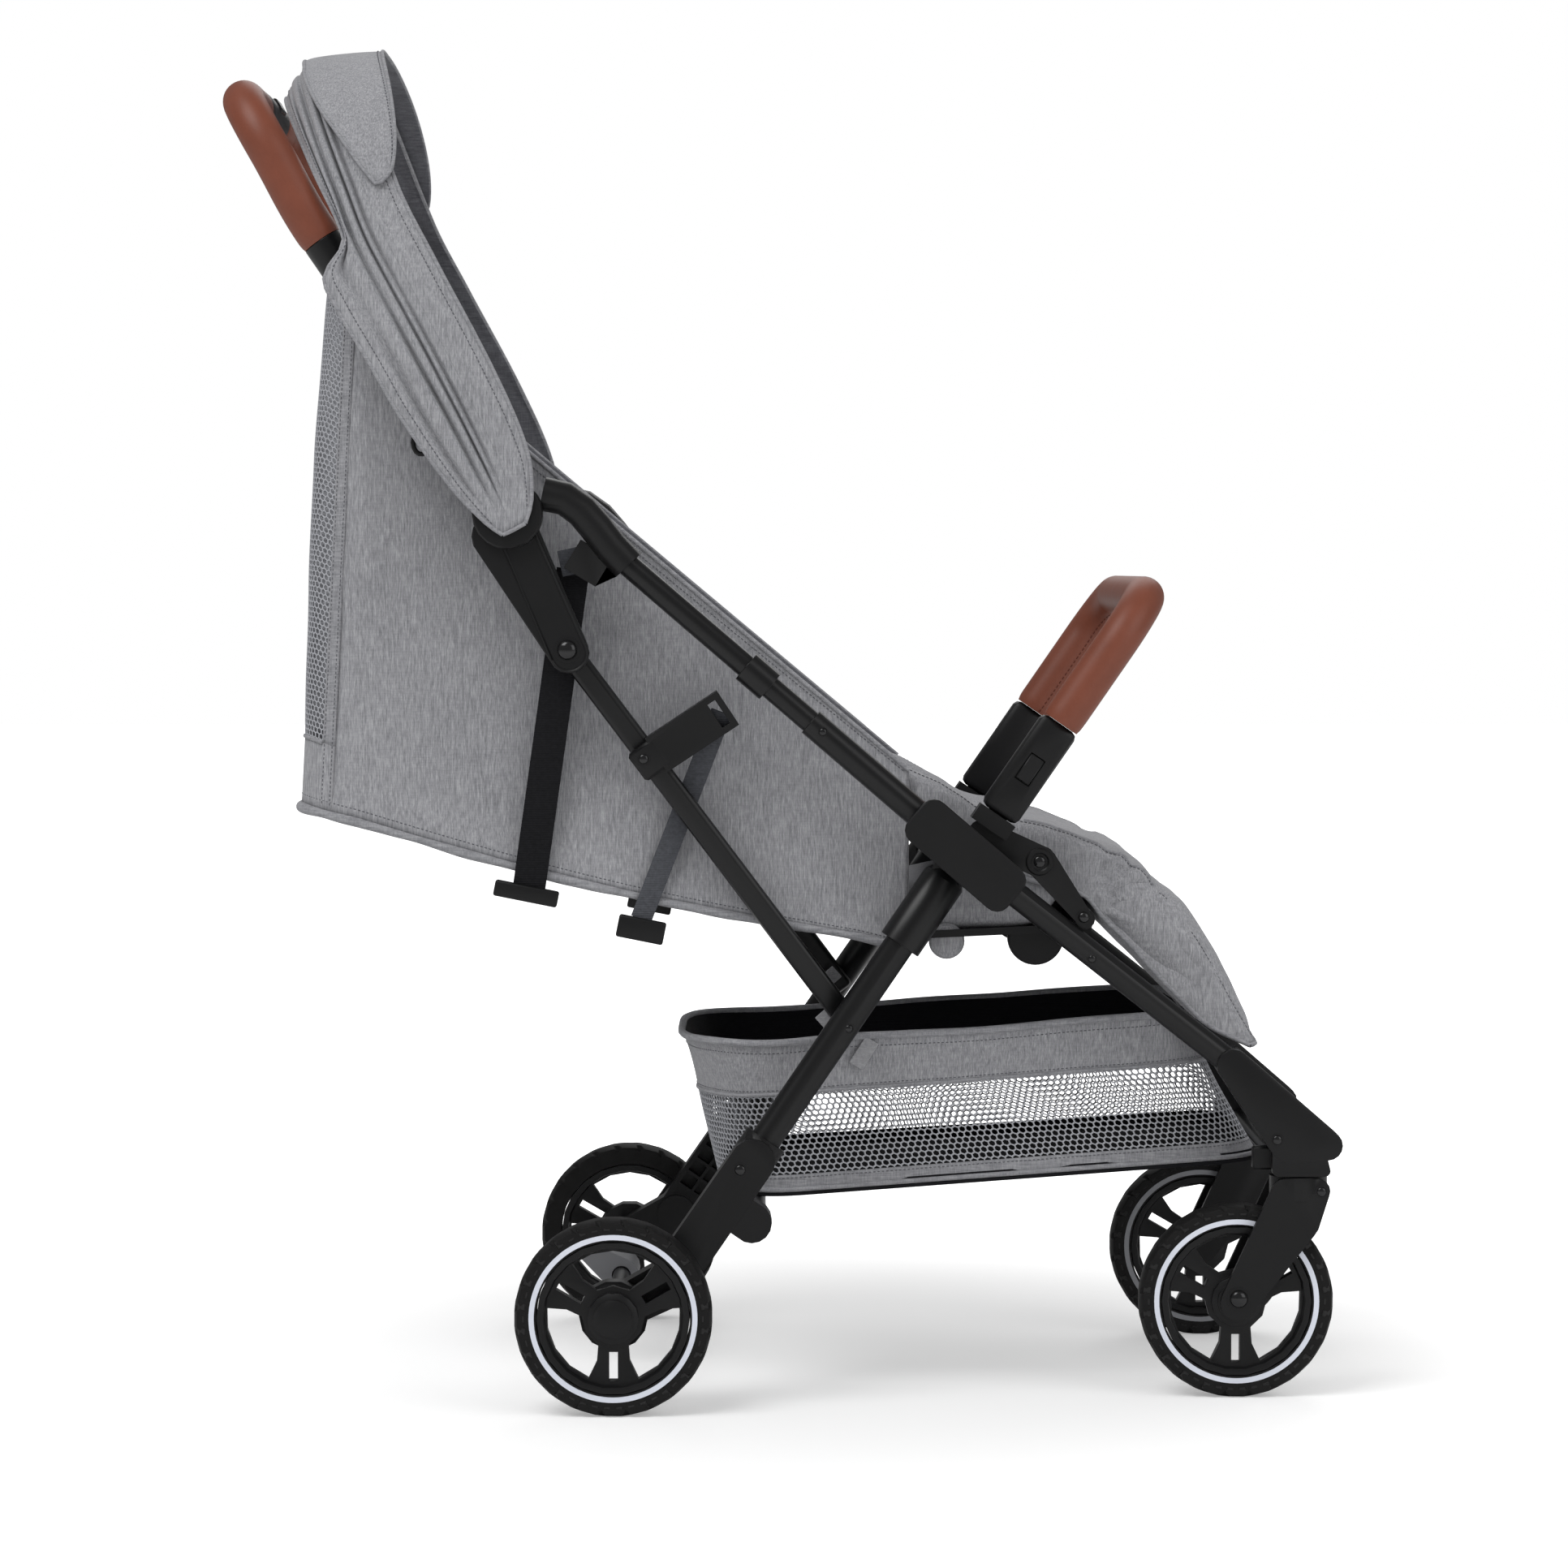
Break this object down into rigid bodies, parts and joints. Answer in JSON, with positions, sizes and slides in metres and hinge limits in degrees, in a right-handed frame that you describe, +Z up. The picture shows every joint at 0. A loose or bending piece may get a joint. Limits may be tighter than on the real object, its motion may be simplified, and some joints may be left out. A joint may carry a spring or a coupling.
{
  "type": "folding stroller",
  "caption": "Lightweight folding stroller with a lie-flat seat, folded sun canopy, bumper bar, mesh basket and lugged wheels.",
  "frame": {"origin": "on the floor, midway between the wheels left and right, under the middle of the stroller's length", "axes": "+X forward, +Y to the stroller's own left, +Z up from the floor"},
  "size_m": [0.8644, 0.486, 1.0552],
  "materials": {
    "tube_black": "satin",
    "plastic_black": "satin",
    "tyre_rubber": "matte",
    "leather": "satin grain",
    "heather_fabric": "heather weave",
    "padding": "quilted heather weave",
    "webbing": "ribbed webbing",
    "pedal_grey": "matte"
  },
  "bodies": {
    "frame": {"rail_left": "tube_black", "rail_right": "tube_black", "elbow_left": "plastic_black", "elbow_right": "plastic_black", "hub_left": "plastic_black", "hub_right": "plastic_black", "seat_crossbar": "tube_black", "seat_bucket": "heather_fabric", "seat_base": "plastic_black", "seat_cushion": "padding", "harness_buckle": "plastic_black", "recline_strap_left": "webbing", "recline_strap_right": "webbing"},
    "rear_legs": {"rear_leg_left": "tube_black", "rear_leg_right": "tube_black", "rear_bracket_left": "plastic_black", "rear_bracket_right": "plastic_black", "rear_crossbar": "tube_black", "rear_axle": "tube_black", "basket": "heather_fabric"},
    "front_legs": {"front_leg_left": "tube_black", "front_leg_right": "tube_black", "front_bracket_left": "plastic_black", "front_bracket_right": "plastic_black", "front_crossbar": "tube_black"},
    "lock_left": {"swivel_lock_left": "plastic_black"},
    "lock_right": {"swivel_lock_right": "plastic_black"},
    "caster_left": {"fork_left": "plastic_black"},
    "caster_right": {"fork_right": "plastic_black"},
    "front_wheel_left": {"front_tyre_left": "tyre_rubber", "front_rim_left": "plastic_black"},
    "front_wheel_right": {"front_tyre_right": "tyre_rubber", "front_rim_right": "plastic_black"},
    "rear_wheel_left": {"rear_tyre_left": "tyre_rubber", "rear_rim_left": "plastic_black"},
    "rear_wheel_right": {"rear_tyre_right": "tyre_rubber", "rear_rim_right": "plastic_black"},
    "brake": {"brake_pedal": "pedal_grey"},
    "handle": {"handle_tube_left": "tube_black", "handle_tube_right": "tube_black", "handle_grip": "leather", "canopy_rear": "heather_fabric"},
    "fold_release": {"fold_button": "plastic_black"},
    "middle_fold": {"canopy_mid": "heather_fabric"},
    "visor_fold": {"canopy_front": "heather_fabric"},
    "arms": {"arm_left": "plastic_black", "arm_right": "plastic_black"},
    "struts": {"strut_left": "tube_black", "strut_right": "tube_black", "strap_guide_left": "plastic_black", "strap_guide_right": "plastic_black"},
    "back_carrier": {"back_tube": "tube_black"},
    "back": {"backrest_pad": "padding"},
    "leg_support": {"leg_rest": "padding"},
    "bumper": {"bumper_fitting_left": "plastic_black", "bumper_fitting_right": "plastic_black", "bumper_grip": "leather"},
    "button_left": {"bumper_button_left": "plastic_black"},
    "button_right": {"bumper_button_right": "plastic_black"}
  },
  "joints": [
    {"name": "fold", "type": "hinge", "parent": "frame", "child": "rear_legs", "pos_m": [0.1357, 0, 0.4248], "axis": [0, 1, 0], "range_deg": [0, 60], "deforming": ["basket", "seat_bucket"]},
    {"name": "front_fold", "type": "hinge", "parent": "rear_legs", "child": "front_legs", "pos_m": [0.1357, 0, 0.4248], "axis": [0, 1, 0], "range_deg": [0, 50]},
    {"name": "handle_fold", "type": "hinge", "parent": "frame", "child": "handle", "pos_m": [-0.21205, 0, 0.68421], "axis": [0, 1, 0], "range_deg": [0, 130], "deforming": ["canopy_rear"]},
    {"name": "arm_fold", "type": "hinge", "parent": "frame", "child": "arms", "pos_m": [-0.21205, 0, 0.68421], "axis": [0, 1, 0], "range_deg": [0, 87.8]},
    {"name": "strut_fold", "type": "hinge", "parent": "arms", "child": "struts", "pos_m": [-0.16599, 0, 0.57829], "axis": [0, 1, 0], "range_deg": [-107.3, 0]},
    {"name": "canopy_open", "type": "hinge", "parent": "handle", "child": "middle_fold", "pos_m": [-0.21205, 0, 0.68421], "axis": [0, -1, 0], "range_deg": [-50, 0], "deforming": ["canopy_mid"]},
    {"name": "canopy_front_open", "type": "hinge", "parent": "middle_fold", "child": "visor_fold", "pos_m": [-0.21205, 0, 0.68421], "axis": [0, -1, 0], "range_deg": [-50, 0], "deforming": ["canopy_front"]},
    {"name": "fold_press", "type": "slide", "parent": "handle", "child": "fold_release", "axis": [-0.866, 0, -0.5], "range_m": [0, 0.003], "stiffness_N_per_m": 300},
    {"name": "recline", "type": "hinge", "parent": "frame", "child": "back_carrier", "pos_m": [0.0565, 0, 0.366], "axis": [0, -1, 0], "range_deg": [-55, 0], "deforming": ["recline_strap_left", "recline_strap_right"]},
    {"name": "back_fold", "type": "hinge", "parent": "back_carrier", "child": "back", "pos_m": [0.0565, 0, 0.366], "axis": [0, 1, 0], "range_deg": [0, 35]},
    {"name": "leg_lift", "type": "hinge", "parent": "frame", "child": "leg_support", "pos_m": [0.22894, 0, 0.37375], "axis": [0, 1, 0], "range_deg": [-40, 0], "deforming": ["leg_rest"]},
    {"name": "bumper_pull", "type": "slide", "parent": "frame", "child": "bumper", "axis": [0.5678, 0, 0.8231], "range_m": [0, 0.06]},
    {"name": "press_left", "type": "slide", "parent": "bumper", "child": "button_left", "axis": [0, -1, 0], "range_m": [0, 0.003], "stiffness_N_per_m": 300},
    {"name": "press_right", "type": "slide", "parent": "bumper", "child": "button_right", "axis": [0, 1, 0], "range_m": [0, 0.003], "stiffness_N_per_m": 300},
    {"name": "brake_turn", "type": "hinge", "parent": "rear_legs", "child": "brake", "pos_m": [-0.132, 0, 0.075], "axis": [0, 1, 0], "range_deg": [-25, 0]},
    {"name": "rear_spin_left", "type": "hinge", "parent": "rear_legs", "child": "rear_wheel_left", "pos_m": [-0.132, 0.225, 0.075], "axis": [0, 1, 0], "continuous": true},
    {"name": "rear_spin_right", "type": "hinge", "parent": "rear_legs", "child": "rear_wheel_right", "pos_m": [-0.132, -0.225, 0.075], "axis": [0, 1, 0], "continuous": true},
    {"name": "swivel_left", "type": "hinge", "parent": "front_legs", "child": "caster_left", "pos_m": [0.3975, 0.146, 0.1735], "axis": [0, 0, 1], "continuous": true},
    {"name": "swivel_right", "type": "hinge", "parent": "front_legs", "child": "caster_right", "pos_m": [0.3975, -0.146, 0.1735], "axis": [0, 0, 1], "continuous": true},
    {"name": "front_spin_left", "type": "hinge", "parent": "caster_left", "child": "front_wheel_left", "pos_m": [0.349, 0.146, 0.075], "axis": [0, 1, 0], "continuous": true},
    {"name": "front_spin_right", "type": "hinge", "parent": "caster_right", "child": "front_wheel_right", "pos_m": [0.349, -0.146, 0.075], "axis": [0, 1, 0], "continuous": true},
    {"name": "lock_left_slide", "type": "slide", "parent": "front_legs", "child": "lock_left", "axis": [0, 0, 1], "range_m": [-0.004, 0]},
    {"name": "lock_right_slide", "type": "slide", "parent": "front_legs", "child": "lock_right", "axis": [0, 0, 1], "range_m": [-0.004, 0]}
  ],
  "couplings": [
    {"joint": "front_fold", "follows": "fold", "ratio": 0.83333},
    {"joint": "handle_fold", "follows": "fold", "ratio": 2.1667},
    {"joint": "arm_fold", "follows": "fold", "ratio": 1.4633},
    {"joint": "strut_fold", "follows": "fold", "ratio": -1.7883},
    {"joint": "back_fold", "follows": "fold", "ratio": 0.58333},
    {"joint": "canopy_front_open", "follows": "canopy_open", "ratio": 1}
  ]
}
